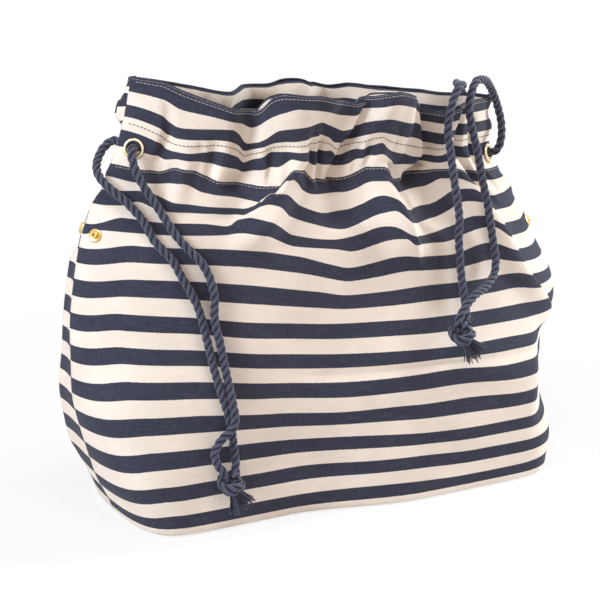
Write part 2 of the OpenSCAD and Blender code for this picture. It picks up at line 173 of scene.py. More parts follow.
def smooth_route(points):
    """Points about a step apart on a smooth curve through a route's points."""
    p = np.asarray(points, float)
    padded = np.vstack([2 * p[0] - p[1], p, 2 * p[-1] - p[-2]])
    dense = []
    for k in range(len(p) - 1):
        a, b, c, d = padded[k:k + 4]
        for t in np.linspace(0, 1, CURVE_STEPS, endpoint=False):
            dense.append(
                0.5 * (2 * b + (c - a) * t + (2 * a - 5 * b + 4 * c - d) * t ** 2
                       + (3 * b - a - 3 * c + d) * t ** 3)
            )
    dense = np.array(dense + [p[-1]])
    along = distance_along(dense)
    at = np.linspace(0, along[-1], max(3, int(along[-1] / ROUTE_STEP) + 1))
    return at_distances(at, along, dense)


def carried_frames(path):
    """Two directions square to a path that turn as little as they can along it."""
    tangent = np.gradient(path, axis=0)
    tangent /= np.linalg.norm(tangent, axis=1)[:, None]
    side = np.array([0.31, 0.8, 0.52])
    sides = []
    for t in tangent:
        side = side - (side @ t) * t
        side = side / np.linalg.norm(side)
        sides.append(side)
    sides = np.array(sides)
    return sides, np.cross(tangent, sides)


def tube(path, radius, sides):
    """Points, faces and UV of a closed tube. The radius may change along the path."""
    path = np.asarray(path, float)
    n, b = carried_frames(path)
    radius = np.broadcast_to(np.asarray(radius, float), len(path))
    angle = (2 * np.pi * np.arange(sides) / sides)[None, :, None]
    outward = np.cos(angle) * n[:, None] + np.sin(angle) * b[:, None]
    rings = path[:, None] + radius[:, None, None] * outward
    along = distance_along(path)
    uv = np.stack(np.meshgrid(np.abs(np.arange(sides) * 2 / sides - 1), along * MM), axis=-1)
    points = np.vstack([rings.reshape(-1, 3), path[:1], path[-1:]])
    uv = np.vstack([uv.reshape(-1, 2), [[0.5, 0]], [[0.5, along[-1] * MM]]])
    m = len(path)
    faces = []
    for k in range(m - 1):
        for j in range(sides):
            a, c = k * sides + j, k * sides + (j + 1) % sides
            faces.append((a, c, c + sides, a + sides))
    for j in range(sides):
        faces.append((m * sides, (j + 1) % sides, j))
        last = (m - 1) * sides
        faces.append((m * sides + 1, last + j, last + (j + 1) % sides))
    return points, faces, uv


def placed(matrix, points):
    """Points moved by a matrix."""
    rotated = np.asarray(points, float) @ np.array(matrix.to_3x3()).T
    return rotated + np.array(matrix.translation)


def joined_piece(name, parts, matrix=Matrix()):
    """One piece from several sets of points, faces and UV, moved by a matrix."""
    points, faces, uv, start = [], [], [], 0
    for p, f, t in parts:
        points.append(p)
        uv.append(t)
        faces += [tuple(i + start for i in face) for face in f]
        start += len(p)
    piece = mesh_piece(name, placed(matrix, np.vstack(points)), faces)
    set_uv(piece, np.vstack(uv))
    return piece


def laid_strands(path, phase=0.0):
    """Three strands laid together round a path. UV across is 1 on the outside and less in the grooves, where
    the rope material paints groove shade.
    """
    n, b = carried_frames(path)
    along = distance_along(path)
    parts = []
    for strand in range(3):
        turn = 2 * np.pi * (along / CORD_LAY + strand / 3) + phase
        centre = path + STRAND_OFF * (np.cos(turn)[:, None] * n + np.sin(turn)[:, None] * b)
        points, faces, uv = tube(centre, STRAND_R, RING_SIDES)
        ring = np.repeat(path, RING_SIDES, axis=0)
        uv[:len(ring), 0] = np.linalg.norm(points[:len(ring)] - ring, axis=1) / (STRAND_OFF + STRAND_R)
        parts.append((points, faces, uv))
    return parts


def rope(name, path, phase=0.0):
    return joined_piece(name, laid_strands(path, phase))


# Middle and outward direction of each eyelet, and how far inside it a strand starts
EYELET_SEATS = {
    "front_left": ((-163, -9.68, 294.39), (-0.540, -0.811, 0.224)),
    "front_right": ((153, -9.68, 257.61), (0.574, -0.782, 0.244)),
    "back_left": ((-163, 9.68, 294.39), (-0.540, 0.811, 0.224)),
    "back_right": ((153, 9.68, 257.61), (0.574, 0.782, 0.244)),
}
INSIDE_EYELET = 5.5


def strand_path(route, seat):
    """A strand's path. Its first point is moved a little further into the eyelet."""
    at, out = (np.array(v) for v in EYELET_SEATS[seat])
    return smooth_route([at - INSIDE_EYELET * out] + route[1:])


STRANDS = {
    "left_cord_front_strand": (LEFT_FRONT_ROUTE, "front_left", "left"),
    "left_cord_back_strand": (LEFT_BACK_ROUTE, "back_left", "left"),
    "right_cord_front_strand": (RIGHT_FRONT_ROUTE, "front_right", "right"),
    "right_cord_back_strand": (RIGHT_BACK_ROUTE, "back_right", "right"),
}
strand_paths = {name: strand_path(route, seat) for name, (route, seat, _) in STRANDS.items()}
strands = {}
for number, (name, path) in enumerate(strand_paths.items()):
    strands[name] = rope(name + "_rope", path, phase=0.9 * number)

# Knots: two turns of cord round the pair of strands, crossed by a third
KNOTS = {"left": ((-120.5, -85, 43), -24), "right": ((75.5, -99.5, 138), -36)}
KNOT_R = 5.7
KNOT_TALL = 13.8


def knot_turn(side):
    """The place and lean of a knot."""
    at, lean = KNOTS[side]
    return Matrix.Translation(at) @ Matrix.Rotation(math.radians(lean), 4, "Y")


def tied_knot(side):
    """An overhand knot: two close turns that pass over and under each other."""
    turns = np.linspace(-0.15, 2.15, 150)
    angle = 2 * np.pi * turns
    wrap = np.stack([
        (KNOT_R + 0.5 * np.sin(2 * angle)) * np.cos(angle),
        (KNOT_R - 0.2 + 0.4 * np.cos(2 * angle)) * np.sin(angle),
        3.6 - 3.6 * turns + 1.5 * np.sin(angle + 0.8),
    ], axis=1)
    over = smooth_route([
        (-2.5, 4.6, 7.0), (-6.0, 3.0, 5.6), (-7.2, -2.2, 2.6), (-4.4, -6.2, 0.4), (0.6, -7.0, -1.4),
        (5.0, -4.8, -3.2), (5.6, -0.4, -5.4), (2.4, 2.0, -7.2),
    ])
    core = smooth_route([(-3.4, 0, 8.0), (-1.6, 0.6, 3.5), (1.2, 0, 0), (1.8, -0.6, -4), (0.6, 0, -7.6)])
    parts = laid_strands(wrap, 0.4) + laid_strands(over, 1.3) + laid_strands(core, 2.0)
    return joined_piece(side + "_knot_tied", parts, knot_turn(side))


knots = {side: tied_knot(side) for side in KNOTS}

# Frayed ends: unlaid yarns that spread and curl
TASSEL_LONG = 18.5
TASSEL_WIDE = 6.9
CLOTH_SIDE = 2.6
YARNS = 96
YARN_R = 0.66
YARN_POINTS = 11
YARN_TOP = -5.2
YARN_SPREAD = 0.8
YARN_CURL = 1.5
YARN_TWIST = 0.55
BUNCH_R = 1.9
BUNCH_SPREAD = 2.2


def frayed_end(side, seed):
    """Yarns in two bunches under a knot."""
    pick = random.Random(seed)
    parts = []
    for k in range(YARNS):
        bunch = k % 2 * 2 - 1
        angle = pick.uniform(0, 2 * math.pi)
        out = math.sqrt(pick.random())
        start = np.array([
            bunch * BUNCH_R + BUNCH_R * out * math.cos(angle),
            BUNCH_R * out * math.sin(angle),
            YARN_TOP,
        ])
        long = TASSEL_LONG * pick.uniform(0.72, 1.02) + 1.2
        spread = np.array([
            bunch * BUNCH_SPREAD + TASSEL_WIDE * YARN_SPREAD * out * math.cos(angle),
            TASSEL_WIDE * YARN_SPREAD * out * math.sin(angle),
            0,
        ])
        curl = np.array([pick.uniform(-1, 1), pick.uniform(-1, 1), 0]) * YARN_CURL
        wave = pick.uniform(1.2, 2.2)
        offset = pick.uniform(0, 6.28)
        t = np.linspace(0, 1, YARN_POINTS)[:, None]
        turn = wave * 6.28 * t + offset
        twist = YARN_TWIST * np.hstack([np.cos(turn), np.sin(turn), 0 * t])
        path = start + spread * t ** 1.4 + curl * t ** 2 + twist * t + np.array([0, 0, -long]) * t
        path[:, 1] = np.minimum(path[:, 1], CLOTH_SIDE)
        path[:, 2] = np.maximum(path[:, 2], -KNOT_TALL / 2 - TASSEL_LONG)
        taper = YARN_R * np.linspace(1.0, pick.uniform(0.45, 0.8), YARN_POINTS)
        points, faces, uv = tube(path, taper, 5)
        # A fixed UV across for each yarn, so it takes a random share of the rope's painted groove shade
        uv[:, 0] = pick.uniform(0.78, 0.97)
        parts.append((points, faces, uv))
    return joined_piece(side + "_tassel_frayed", parts, knot_turn(side))


tassels = {"left": frayed_end("left", 5), "right": frayed_end("right", 8)}

# Cloth

CUT_WIDE = 480.0
CUT_LONG = 452.0
CANVAS = 1.2
COLUMN_STEP = 2.2
ROW_STEP = 2.4
STRIPE_PAIR = 25.4
SIDE_GAP = 0.1
HEEL_R = 5.0

# Stations of the bag from the floor to the mouth, as in the CAD
STATION_Z = np.array([0, 120, 205, 276, 326], float)
HALF_WIDTHS = np.array([368, 430, 408, 336, 320]) / 2
HALF_DEPTHS = np.array([146, 148, 138, 92, 116]) / 2
EDGE_POWERS = np.array([16, 3.8, 2.8, 2.3, 2.2])
CROWN_POWERS = np.array([0.4, 0.6, 0.7, 0.8, 0.85])
SLUMP = 44.0
SWAY = 5.0
SAG = 20.0
SAG_Z = 90.0
LEAN_FROM = 162.5
CHANNEL_Z = 276.0
MOUTH_Z = 326.0
MOUTH_WIDE = 320.0

# Distance down the cloth from the mouth's edge, and the height where it hangs
HANG_V = np.array([0, 44, 62, 78, 102, 127, 152, 178, 203, 229, 254, 279, 305, 330, 356, 371], float)
HANG_Z = np.array([324, 291.5, 276.5, 262, 244.5, 225.5, 205, 181, 157, 133, 111, 87, 63.5, 41, 19, HEEL_R])
HEEL_V = HANG_V[-1]
BASE_V = HEEL_V + HEEL_R * math.pi / 2

# Rows of stitches, down the cloth from the mouth's edge
EDGE_STITCH = 2.4
UPPER_STITCH = 44.0
LOWER_STITCH = 78.0


def through(x, xs, ys, slopes=None):
    """A smooth curve through points."""
    x = np.asarray(x, float)
    if slopes is None:
        slopes = np.gradient(ys, xs)
    k = np.clip(np.searchsorted(xs, x) - 1, 0, len(xs) - 2)
    h = xs[k + 1] - xs[k]
    t = (x - xs[k]) / h
    return (
        ys[k] * (2 * t ** 3 - 3 * t ** 2 + 1) + slopes[k] * h * (t ** 3 - 2 * t ** 2 + t)
        + ys[k + 1] * (3 * t ** 2 - 2 * t ** 3) + slopes[k + 1] * h * (t ** 3 - t ** 2)
    )


def at_stations(z, values):
    """A station value at any height, by the CAD's own curve."""
    station = np.arange(len(STATION_Z))
    low = np.maximum(station - 1, 0)
    high = np.minimum(station + 1, len(STATION_Z) - 1)
    slopes = (values[high] - values[low]) / (STATION_Z[high] - STATION_Z[low])
    return through(z, STATION_Z, values, slopes)


def ramp(x, low, high):
    """A soft step from 0 at low to 1 at high."""
    t = np.clip((np.asarray(x, float) - low) / (high - low), 0, 1)
    return t * t * (3 - 2 * t)


def hump(x, start, full, fade, end):
    """1 between full and fade, and 0 before start and past end."""
    return ramp(x, start, full) * (1 - ramp(x, fade, end))


def front_wall(u, z, inset=0.0):
    """Points of the smooth front wall of the CAD bag, and their share of its depth. u is -1 at the left
    seam and 1 at the right."""
    over = np.maximum(np.asarray(z, float) - MOUTH_Z, 0)
    z = np.minimum(np.asarray(z, float), MOUTH_Z) + 0 * u
    crown = (1 - np.minimum(np.abs(u), 1) ** at_stations(z, EDGE_POWERS)) ** at_stations(z, CROWN_POWERS)
    sagging = np.where(z >= 2 * SAG_Z, 0, np.sin(math.pi / 2 * np.maximum(1, z / SAG_Z)) ** 2)
    x = u * (at_stations(z, HALF_WIDTHS) - inset)
    y = -SIDE_GAP - (at_stations(z, HALF_DEPTHS) + SAG * ramp(u, -0.35, 0.25) * sagging - inset) * crown
    lean = SWAY * (ramp(z, LEAN_FROM, CHANNEL_Z) - ramp(z, CHANNEL_Z, MOUTH_Z))
    return np.stack([x - lean, y, (z + over) * (1 - SLUMP * x / MOUTH_WIDE / MOUTH_Z)], axis=-1), crown


# Main folds, as in the CAD: places across at the mouth, the channel and the lower end, reach to each
# side, height in millimetres at the mouth, the channel and below it, and the height where it ends
MAIN_FOLDS = [
    ((-0.47, -0.44, -0.5), (0.15, 0.14), (-11, -3.5, -7), 228),
    ((-0.28, -0.22, -0.5), (0.13, 0.13), (5, 4.5, 14), 202),
    ((0.01, -0.05, -0.04), (0.13, 0.13), (-11, -3.5, -8), 222),
    ((0.2, 0.16, 0.26), (0.18, 0.13), (10, 4.5, 14), 189),
    ((0.42, 0.41, 0.38), (0.13, 0.13), (-13, -3.5, -9), 215),
    ((0.62, 0.6, 0.86), (0.2, 0.14), (9, 4, 8), 137),
]
FULL_Z = 232.0


def main_relief(u, z):
    """How far the main folds stand out from the smooth wall."""
    total = 0.0
    for (lip, channel, low), (left, right), (at_lip, at_channel, below), end in MAIN_FOLDS:
        rise = np.clip((z - CHANNEL_Z) / (MOUTH_Z - CHANNEL_Z), 0, 1)
        fall = np.clip((z - end) / (CHANNEL_Z - end), 0, 1)
        place = np.where(z >= CHANNEL_Z, channel + (lip - channel) * rise, low + (channel - low) * fall)
        tall = np.where(
            z >= CHANNEL_Z,
            at_channel + (at_lip - at_channel) * ramp(z, CHANNEL_Z, MOUTH_Z),
            np.where(
                z >= FULL_Z,
                below + (at_channel - below) * ramp(z, FULL_Z, CHANNEL_Z),
                below * ramp(z, end, FULL_Z),
            ),
        )
        away = u - place
        t = away / np.where(away < 0, left, right)
        total = total + np.where(np.abs(t) < 1, tall * np.cos(np.pi / 2 * np.clip(t, -1, 1)) ** 2, 0)
    return total


def stationed(z, stations, column):
    """A value between stations that are listed from the top down, and its end values beyond them."""
    order = stations[::-1]
    return float(np.interp(z, [s[0] for s in order], [s[column] for s in order]))


# How far the flank of a fold climbs for its steepness
WAVE = np.sin(np.pi * (np.arange(64) + 0.5) / 64)
STEEPS = np.linspace(0, 2.0, 101)
CLIMBS = np.array([np.sin(s * WAVE).mean() for s in STEEPS])
FOLD_FADE = 6.0


class Fold:
    """A fold that runs down the cloth, from stations of (height, place across, steepness in degrees).
    A steepness under 0 folds inwards. The flanks are widths of cloth to the left and right."""

    def __init__(self, flanks, stations):
        self.left, self.right = flanks
        self.stations = stations

    def at_height(self, z):
        """Place across and the slopes of both flanks."""
        place = stationed(z, self.stations, 1)
        steep = math.radians(stationed(z, self.stations, 2))
        top, low = self.stations[0][0], self.stations[-1][0]
        steep *= float(ramp(top + FOLD_FADE - z, 0, FOLD_FADE) * ramp(z, low - FOLD_FADE, low))
        narrow, wide = sorted((self.left, self.right))
        other = float(np.interp(narrow * np.interp(abs(steep), STEEPS, CLIMBS) / wide, CLIMBS, STEEPS))
        other = math.copysign(other, steep)
        return (place, steep, other) if self.left <= self.right else (place, other, steep)


class Lift:
    """Cloth drawn up or let down, from stations of (height, place across, rise), with the reach of the
    rise to the left and right."""

    def __init__(self, reach, stations):
        self.left, self.right = reach
        self.stations = stations

    def at(self, u, z):
        place = stationed(z, self.stations, 1)
        rise = stationed(z, self.stations, 2)
        away = u - place
        t = np.clip(np.abs(away) / np.where(away < 0, self.left, self.right), 0, 1)
        return rise * (1 - t) ** 2 * (1 + 2 * t)


FRONT_FOLDS = [
    Fold((10, 10), [(312, -0.845, -20), (295, -0.82, -52), (280, -0.83, -56), (262, -0.85, -30)]),
    Fold((14, 16), [(292, -0.735, 20), (266, -0.73, 52), (238, -0.74, 15)]),
    Fold((27, 17), [(326, -0.475, -62), (296, -0.45, -60), (276, -0.44, -54), (258, -0.485, -40)]),
    Fold((13, 15), [(296, -0.25, 10), (276, -0.235, 58), (262, -0.25, 60), (246, -0.345, 46),
                    (222, -0.49, 16)]),
    Fold((9, 10), [(296, -0.62, -15), (280, -0.615, -50), (266, -0.62, -45), (256, -0.62, -10)]),
    Fold((8, 9), [(292, -0.36, -20), (280, -0.35, -56), (268, -0.35, -50), (260, -0.34, 0)]),
    Fold((8, 8), [(298, -0.175, -20), (284, -0.17, -70), (270, -0.175, -66), (258, -0.18, -15)]),
    Fold((9, 9), [(302, -0.12, -30), (286, -0.115, -82), (268, -0.115, -78), (256, -0.11, -20)]),
    Fold((16, 24), [(326, 0.09, -98), (315, 0.07, -98), (304, 0.05, -98), (295, 0.01, -98), (286, 0, -92),
                    (266, -0.03, -70), (256, -0.05, -20)]),
    Fold((8, 8), [(296, 0.045, -20), (282, 0.055, -70), (268, 0.06, -60), (256, 0.06, 0)]),
    Fold((7, 7), [(292, 0.115, -15), (280, 0.11, -54), (266, 0.105, -48), (258, 0.1, 0)]),
    Fold((30, 13), [(326, 0.33, 50), (300, 0.33, 50), (286, 0.28, 54), (270, 0.19, 66), (248, 0.205, 78),
                    (226, 0.22, 60), (200, 0.24, 14)]),
    Fold((20, 23), [(326, 0.465, -84), (290, 0.49, -86), (272, 0.44, -70), (258, 0.34, -34)]),
    Fold((32, 13), [(326, 0.6, 40), (296, 0.585, 52), (276, 0.585, 66), (252, 0.68, 70), (220, 0.7, 66),
                    (185, 0.76, 60), (160, 0.83, 46), (140, 0.89, 24), (122, 0.94, 0)]),
    Fold((13, 12), [(318, 0.7, -50), (288, 0.7, -80), (266, 0.75, -70), (240, 0.79, -20)]),
    Fold((12, 11), [(308, 0.81, -30), (284, 0.82, -76), (262, 0.84, -60), (246, 0.86, -10)]),
]
# Hang of the front's stripes: the distance of a stripe's edge down the cloth, then places across and
# how far the cloth there sits above its level row
FRONT_HANG = [
    (0, [(-1, 0), (-0.9, 0), (-0.79, -5), (-0.65, -11), (-0.5, -16), (-0.45, -16), (-0.4, -3), (-0.35, 1),
         (-0.2, 1), (-0.06, -2), (0.04, -4), (0.055, -3), (0.09, 1), (0.12, 3), (0.15, 6), (0.18, 8),
         (0.22, 9), (0.27, 8), (0.39, 3), (0.43, 0), (0.47, -9), (0.52, -9), (0.58, -5), (0.67, -3),
         (0.92, 0), (1, 0)]),
    (13, [(-1, 0), (-0.88, -2), (-0.79, -8), (-0.65, -11), (-0.5, -16), (-0.45, -19), (-0.4, -10),
          (-0.35, -4), (-0.28, 1), (-0.12, -1), (-0.02, -4), (0.025, -4), (0.045, -3), (0.07, 1), (0.1, 3),
          (0.13, 5), (0.17, 8), (0.2, 9), (0.26, 8), (0.38, 4), (0.43, 1), (0.47, -8), (0.52, -8),
          (0.6, -4), (0.7, -2), (1, 0)]),
    (25, [(-1, 0), (-0.87, -4), (-0.83, -9), (-0.77, -12), (-0.56, -10), (-0.51, -14), (-0.45, -22),
          (-0.39, -16), (-0.34, -8), (-0.2, -3), (-0.14, 0), (-0.1, -2), (-0.04, -5), (0, -7), (0.02, -6),
          (0.05, -4), (0.08, -3), (0.105, 1), (0.13, 4), (0.18, 6), (0.29, 3), (0.44, 0), (0.48, -7),
          (0.53, -7), (0.58, -4), (0.7, -1), (1, 0)]),
    (38, [(-1, 1), (-0.86, -4), (-0.82, -9), (-0.75, -10), (-0.57, -9), (-0.5, -13), (-0.455, -18),
          (-0.4, -13), (-0.34, -8), (-0.24, -5), (-0.15, -2), (-0.12, -1), (-0.07, -3), (-0.03, -7),
          (0.01, -7), (0.04, -6), (0.07, -4), (0.1, 1), (0.16, 4), (0.21, 3), (0.32, 0), (0.44, -3),
          (0.49, -7), (0.54, -7), (0.6, -3), (1, 0)]),
    (51, [(-1, 2), (-0.85, -4), (-0.81, -9), (-0.72, -9), (-0.58, -7), (-0.5, -11), (-0.455, -16),
          (-0.4, -11), (-0.34, -5), (-0.23, -3), (-0.12, -3), (-0.05, -3), (-0.01, -8), (0.02, -8),
          (0.05, -4), (0.1, 0), (0.14, 3), (0.18, 6), (0.21, 2), (0.24, -1), (0.33, -4), (0.43, -8),
          (0.5, -8), (0.6, -2), (1, 0)]),
    (76, [(-1, 0), (-0.84, -2), (-0.75, 3), (-0.7, 2), (-0.57, -6), (-0.44, -8), (-0.33, -7), (-0.29, 0),
          (-0.26, 7), (-0.2, 6), (-0.15, -2), (-0.02, -3), (0.05, 2), (0.12, 9), (0.18, 10), (0.23, 6),
          (0.26, -2), (0.33, -1), (0.5, 5), (0.6, 6), (0.7, 0), (1, 0)]),
    (89, [(-1, 1), (-0.9, -1), (-0.81, 0), (-0.73, 2), (-0.64, -4), (-0.52, -7), (-0.42, -9), (-0.38, -7),
          (-0.34, 0), (-0.3, 9), (-0.27, 9), (-0.24, 6), (-0.21, 0), (-0.17, -3), (-0.08, -4), (0, -3),
          (0.13, 8), (0.18, 9), (0.23, -1), (0.32, -2), (0.43, 0), (0.53, 7), (0.6, 7), (0.7, 0), (1, 0)]),
    (102, [(-1, 0), (-0.86, 3), (-0.74, -3), (-0.6, -5), (-0.47, -6), (-0.43, -3), (-0.39, 4), (-0.36, 9),
           (-0.31, 8), (-0.22, -3), (-0.09, -9), (0, -7), (0.06, -2), (0.15, 7), (0.19, 5), (0.23, -3),
           (0.3, -7), (0.41, -6), (0.58, 7), (0.64, 8), (0.72, -2), (0.85, -3), (1, 0)]),
    (114, [(-1, 0), (-0.92, 1), (-0.87, 5), (-0.78, 0), (-0.6, 0), (-0.52, -1), (-0.47, -1), (-0.44, 3),
           (-0.41, 8), (-0.38, 10), (-0.34, 9), (-0.28, 0), (-0.18, -6), (-0.05, -11), (0.01, -9), (0.13, 3),
           (0.17, 6), (0.22, -3), (0.34, -8), (0.42, -6), (0.5, 0), (0.61, 7), (0.66, 6), (0.71, -3),
           (0.88, -5), (1, -2)]),
    (127, [(-1, -5), (-0.9, 3), (-0.78, 2), (-0.62, 3), (-0.54, 2), (-0.48, 7), (-0.44, 9), (-0.38, 8),
           (-0.33, 3), (-0.27, -4), (-0.1, -8), (0.03, -4), (0.15, 3), (0.21, -3), (0.32, -7), (0.46, -3),
           (0.63, 5), (0.7, -3), (0.9, -7), (1, -4)]),
    (140, [(-1, -2), (-0.96, 3), (-0.77, 4), (-0.63, 5), (-0.55, 6), (-0.47, 9), (-0.4, 8), (-0.34, 3),
           (-0.27, -2), (-0.09, -5), (-0.03, -7), (0.07, -3), (0.19, 4), (0.22, -1), (0.39, -4), (0.55, 2),
           (0.65, 6), (0.71, -4), (0.9, -8), (1, -6)]),
    (152, [(-1, -1), (-0.85, 6), (-0.5, 7), (-0.27, 2), (-0.12, -6), (-0.05, -9), (0.06, -6), (0.2, -1),
           (0.28, -3), (0.4, -4), (0.62, 3), (0.72, -5), (0.9, -10), (1, -8)]),
    (178, [(-1, 0), (-0.84, 6), (-0.66, 7), (-0.5, 5), (-0.2, -2), (-0.05, -7), (0.1, -6), (0.3, -4),
           (0.6, -4), (0.71, -3), (0.8, -9), (0.95, -12), (1, -10)]),
    (203, [(-1, 0), (-0.87, 5), (-0.7, 5), (-0.4, 0), (-0.1, -4), (0.2, -5), (0.6, -6), (0.85, -8), (1, -6)]),
    (229, [(-1, 0), (-0.87, 5), (-0.7, 5), (-0.4, 0), (-0.1, -4), (0.2, -5), (0.6, -6), (0.8, -8), (1, -6)]),
    (254, [(-1, -2), (-0.87, 4), (-0.7, 5), (-0.4, 0), (-0.1, -4), (0.15, -2), (0.35, -1), (0.6, -4),
           (1, -5)]),
    (279, [(-1, -1), (-0.85, 4), (-0.7, 5), (-0.4, 0), (-0.1, -4), (0.15, -2), (0.4, -2), (0.7, -5),
           (1, -4)]),
    (305, [(-1, -4), (-0.85, 2), (-0.7, 3), (-0.2, -1), (0.1, -3), (0.5, -6), (0.85, -6), (1, -4)]),
    (330, [(-1, -6), (-0.85, -1), (-0.6, 0), (0.2, -1), (0.5, -4), (0.75, -4), (1, -2)]),
    (356, [(-1, -6), (-0.85, -2), (-0.5, -2), (-0.3, -2), (0.1, -1), (0.45, -4), (0.75, -4), (1, -1)]),
    (371, [(-1, 0), (1, 0)]),
]
BACK_FOLDS = [
    Fold((10, 12), [(300, -0.78, 20), (272, -0.77, 50), (244, -0.77, 10)]),
    Fold((18, 14), [(326, -0.49, -16), (300, -0.46, -40), (286, -0.46, -64), (264, -0.47, -52),
                    (246, -0.47, -8)]),
    Fold((16, 15), [(304, -0.27, 10), (272, -0.24, 66), (246, -0.3, 56), (222, -0.4, 10)]),
    Fold((10, 10), [(326, 0.0, -4), (302, -0.02, -10), (288, -0.03, -70), (264, -0.05, -62),
                    (248, -0.05, -8)]),
    Fold((24, 16), [(326, 0.22, 8), (302, 0.2, 18), (284, 0.19, 62), (260, 0.18, 66), (214, 0.23, 10)]),
    Fold((14, 16), [(326, 0.42, -20), (300, 0.43, -40), (284, 0.43, -66), (264, 0.4, -52), (246, 0.4, -8)]),
    Fold((22, 15), [(326, 0.61, 16), (286, 0.6, 52), (240, 0.68, 48), (180, 0.77, 10)]),
    Fold((10, 10), [(300, 0.78, -20), (276, 0.78, -54), (252, 0.8, -14)]),
    Fold((10, 10), [(302, -0.63, -10), (284, -0.62, -74), (266, -0.62, -66), (252, -0.62, -5)]),
    Fold((9, 9), [(302, -0.14, -10), (284, -0.14, -74), (266, -0.15, -66), (252, -0.15, -5)]),
    Fold((9, 9), [(302, 0.31, -10), (284, 0.31, -74), (266, 0.31, -66), (252, 0.31, -5)]),
    Fold((9, 9), [(302, 0.52, -10), (284, 0.52, -72), (266, 0.53, -64), (252, 0.54, -5)]),
]
BACK_LIFTS = [
    Lift((0.2, 0.16), [(326, -0.48, -3), (290, -0.46, -5), (250, -0.48, 0)]),
    Lift((0.09, 0.1), [(290, -0.24, 0), (264, -0.25, 9), (240, -0.32, 5), (220, -0.4, 0)]),
    Lift((0.18, 0.12), [(326, -0.02, 5), (290, -0.03, 0), (280, -0.03, 0)]),
    Lift((0.14, 0.1), [(326, 0.22, -4), (290, 0.2, 2), (262, 0.18, 9), (236, 0.21, 5), (206, 0.24, 0)]),
    Lift((0.14, 0.14), [(326, 0.41, 2), (290, 0.43, -4), (250, 0.4, 0)]),
    Lift((0.2, 0.1), [(326, 0.6, -2), (286, 0.6, 0), (250, 0.67, 6), (190, 0.76, 0)]),
]


class Swell:
    """Low waves of slack cloth, all over a panel."""

    def __init__(self, seed, tall):
        pick = random.Random(seed)
        self.waves = [
            (pick.uniform(70, 150), pick.uniform(60, 130), pick.uniform(0, 6.3), pick.uniform(0, 6.3),
             tall * pick.uniform(0.5, 1.0))
            for _ in range(5)
        ]

    def at(self, a, v):
        total = 0.0
        for across, down, first, second, tall in self.waves:
            total = total + tall * np.sin(6.283 * a / across + first) * math.sin(6.283 * v / down + second)
        return total


TUCKS_FROM_SEAM = 30.0


class Puckers:
    """Short tucks of cloth along the rows of channel stitches."""

    def __init__(self, seed):
        pick = random.Random(seed)
        self.tucks = []
        for row in (UPPER_STITCH, LOWER_STITCH):
            a = TUCKS_FROM_SEAM
            while a < CUT_WIDE - TUCKS_FROM_SEAM:
                self.tucks.append((a, row, pick.uniform(4, 8), pick.uniform(5, 13), pick.uniform(-1.3, 1.0)))
                a += pick.uniform(6, 11)

    def at(self, a, v):
        total = np.zeros_like(a)
        for middle, row, wide, tall, deep in self.tucks:
            away = abs(v - row)
            if away < 2.5 * tall:
                total += deep * np.exp(-((a - middle) / wide * 2) ** 2) * math.exp(-((away / tall) ** 2))
        return total


CREASE_V = 247.5
CREASE_DEEP = 5.5
CREASE_ROLL = 15.0


def crease(u, v, share):
    """A shallow crease with a roll on each side, where the settled cloth hangs over the sag."""
    deep = -CREASE_DEEP * math.exp(-(((v - CREASE_V) / 4.4) ** 2))
    roll = 2.2 * math.exp(-(((v - CREASE_V - CREASE_ROLL) / 11) ** 2))
    roll += 1.8 * math.exp(-(((v - CREASE_V + CREASE_ROLL) / 12) ** 2))
    return share * hump(u, -0.4, -0.05, 0.72, 0.86) * (deep + roll)


def even_slopes(xs, ys):
    """Slopes at the points of a curve that does not overshoot them."""
    step = np.diff(ys) / np.diff(xs)
    slopes = np.zeros(len(xs))
    same = step[1:] * step[:-1] > 0
    slopes[1:-1][same] = 2 * step[1:][same] * step[:-1][same] / (step[1:] + step[:-1])[same]
    return slopes


def stripe_hang(u, v):
    """How far a row of the front cloth sits above its level, at places across."""
    upper = max(k for k in range(len(FRONT_HANG) - 1) if FRONT_HANG[k][0] <= v)
    rises = []
    for _, points in FRONT_HANG[upper:upper + 2]:
        xs, ys = np.array(points, float).T
        rises.append(through(np.clip(u, -1, 1), xs, ys, even_slopes(xs, ys)))
    share = (v - FRONT_HANG[upper][0]) / (FRONT_HANG[upper + 1][0] - FRONT_HANG[upper][0])
    return rises[0] + (rises[1] - rises[0]) * min(share, 1)


def leaning(u):
    """Where the back's header leans in over the mouth: most on the left."""
    return hump(u, -0.98, -0.6, 0.75, 0.95) * (1 - 0.7 * ramp(u, -0.5, 0.4))


def hang(face, u, v, z):
    """How far a row of either panel's cloth sits above its level."""
    if face == "front":
        return stripe_hang(u, v)
    settled = float(hump(v, 110, 175, 270, 345))
    mouth = 1 - float(ramp(v, 8, 70))
    return (
        sum(lift.at(u, z) for lift in BACK_LIFTS)
        + 5.5 * settled * (1 - 2 * ramp(u, -0.75, 0.15))
        - 6 * mouth * leaning(u)
    )


def side_fullness(face, u, z):
    """How far the cloth at the sides stands out to the right, or under 0 to the left."""
    heel_left = -5 * ramp(-u, 0.7, 1) * hump(z, 5, 35, 85, 130)
    belly_right = 10 * ramp(u, 0.6, 0.95) * hump(z, 115, 148, 155, 205)
    dent_right = -2.5 * ramp(u, 0.6, 0.92) * hump(z, 35, 80, 100, 132)
    neck = 2.6 * np.sin(2 * np.pi * z / 34) * ramp(np.abs(u), 0.8, 1) * hump(z, 222, 246, 252, 262)
    header = 2.2 * np.sin(2 * np.pi * z / 29) * ramp(u, 0.8, 1) * ramp(z, 278, 292)
    total = heel_left + belly_right + dent_right + neck + header
    if face == "back":
        # Slack beside the left seam, but not where it would cover the socket and the eyelet
        belly = 8 * hump(z, 20, 50, 192, 206)
        mouth = 13 * ramp(z, 284, 300) * (1 - 0.55 * ramp(z, 304, 322))
        total = total - hump(-u, 0.72, 0.92, 0.95, 1) * (belly + mouth)
    return total


